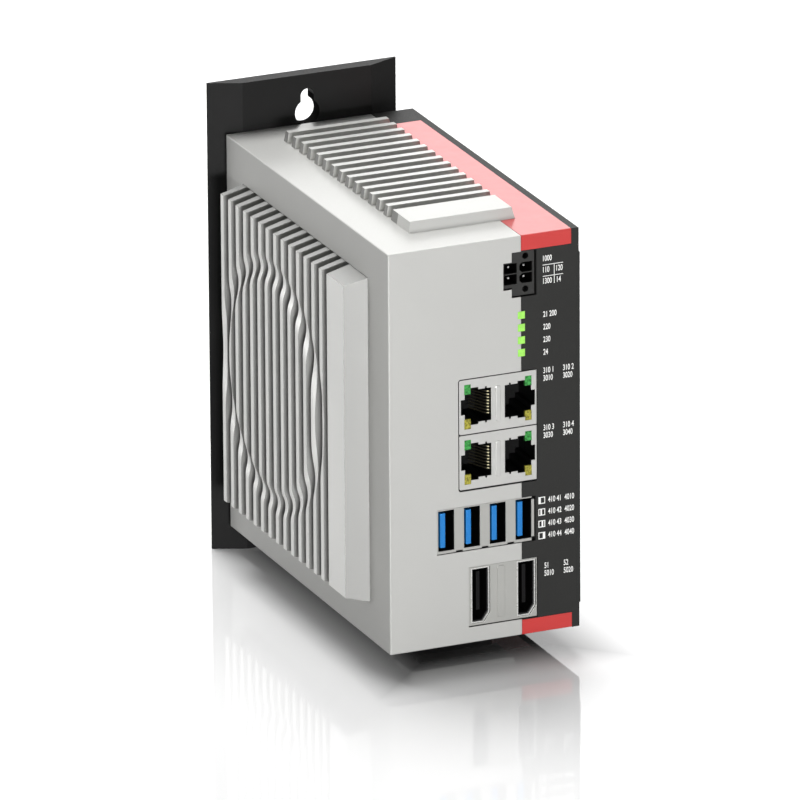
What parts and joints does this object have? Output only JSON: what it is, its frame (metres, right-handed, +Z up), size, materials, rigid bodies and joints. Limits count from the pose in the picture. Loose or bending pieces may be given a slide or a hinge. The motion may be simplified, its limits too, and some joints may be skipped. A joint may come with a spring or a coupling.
{
  "type": "compact industrial pc",
  "caption": "Wall-mounted compact industrial PC with a cast finned housing, a black side cover, red inlays, front ports and a fan tray behind the lower vents.",
  "frame": {"origin": "centre of the mounting plate's rear face", "axes": "+X right seen from the front, +Y from the front ports back to the wall, +Z up"},
  "size_m": [0.0732, 0.134, 0.157],
  "materials": {
    "cast_silver": "fine satin cast surface, clear coated",
    "fin_silver": "turned, blasted and bright anodised",
    "black_coat": "fine matte powder coat",
    "black_plate": "smooth satin powder coat",
    "red_film": "glossy coated inlay",
    "sheet_metal": "tin-plated sheet",
    "dull_sheet": "satin nickel-plated sheet",
    "tinned": "tin-plated pins",
    "steel": "zinc-plated",
    "black_plastic": "moulded",
    "grey_plastic": "moulded",
    "blue_plastic": "moulded",
    "gold": "gold flashed",
    "green_lens": "clear tinted",
    "yellow_lens": "clear tinted",
    "clear_plastic": "clear light guide",
    "board": "solder resist on glass laminate",
    "chip": "moulded package",
    "heat_pad": "soft gap filler",
    "cell": "stamped steel can",
    "die": "nickel-plated"
  },
  "bodies": {
    "chassis": {"main_housing": "cast_silver", "heat_sink": "fin_silver", "heat_sink_screws": "steel", "side_cover": "black_coat", "side_panel": "black_coat", "panel_screws": "steel", "top_inlay": "red_film", "bottom_inlay": "red_film", "case_screws": "steel", "mounting_plate": "black_plate", "plate_screws": "steel", "mainboard": "board", "processor": "chip", "heat_spreader": "die", "thermal_pad": "heat_pad", "power_chokes": "chip", "capacitors": "cell", "memory_socket": "black_plastic", "memory_module": "board", "memory_chips": "chip", "drive_socket": "black_plastic", "solid_state_drive": "board", "drive_chips": "chip", "drive_post": "steel", "drive_screw": "steel", "coin_cell_holder": "black_plastic", "coin_cell": "cell", "lan_shield_lower": "sheet_metal", "lan_shield_upper": "sheet_metal", "lan_insert_lower": "black_plastic", "lan_insert_upper": "black_plastic", "lan_contacts_lower": "gold", "lan_contacts_upper": "gold", "lan_lamps_green": "green_lens", "lan_lamps_yellow": "yellow_lens", "usb_shield": "dull_sheet", "usb_insert": "black_plastic", "usb_tongues": "blue_plastic", "usb_contacts": "gold", "display_shield": "dull_sheet", "display_shells": "sheet_metal", "display_inserts": "black_plastic", "display_contacts": "gold", "power_socket": "grey_plastic", "power_pins": "tinned", "power_nuts": "steel", "light_pipes": "clear_plastic", "status_lamps": "clear_plastic", "fan_tray": "black_plastic", "fan_frame_front": "black_plastic", "fan_frame_rear": "black_plastic", "fan_stators": "steel", "fan_screws": "steel", "tray_screws": "steel", "fan_board": "board", "fan_socket": "black_plastic"},
    "front_fan": {"fan_rotor_front": "black_plastic"},
    "rear_fan": {"fan_rotor_rear": "black_plastic"}
  },
  "joints": [
    {"name": "front_fan_spin", "type": "hinge", "parent": "chassis", "child": "front_fan", "pos_m": [-0.00015, -0.07967, -0.0604], "axis": [0, 0, 1], "continuous": true},
    {"name": "rear_fan_spin", "type": "hinge", "parent": "chassis", "child": "rear_fan", "pos_m": [-0.00015, -0.03887, -0.0604], "axis": [0, 0, 1], "continuous": true}
  ]
}
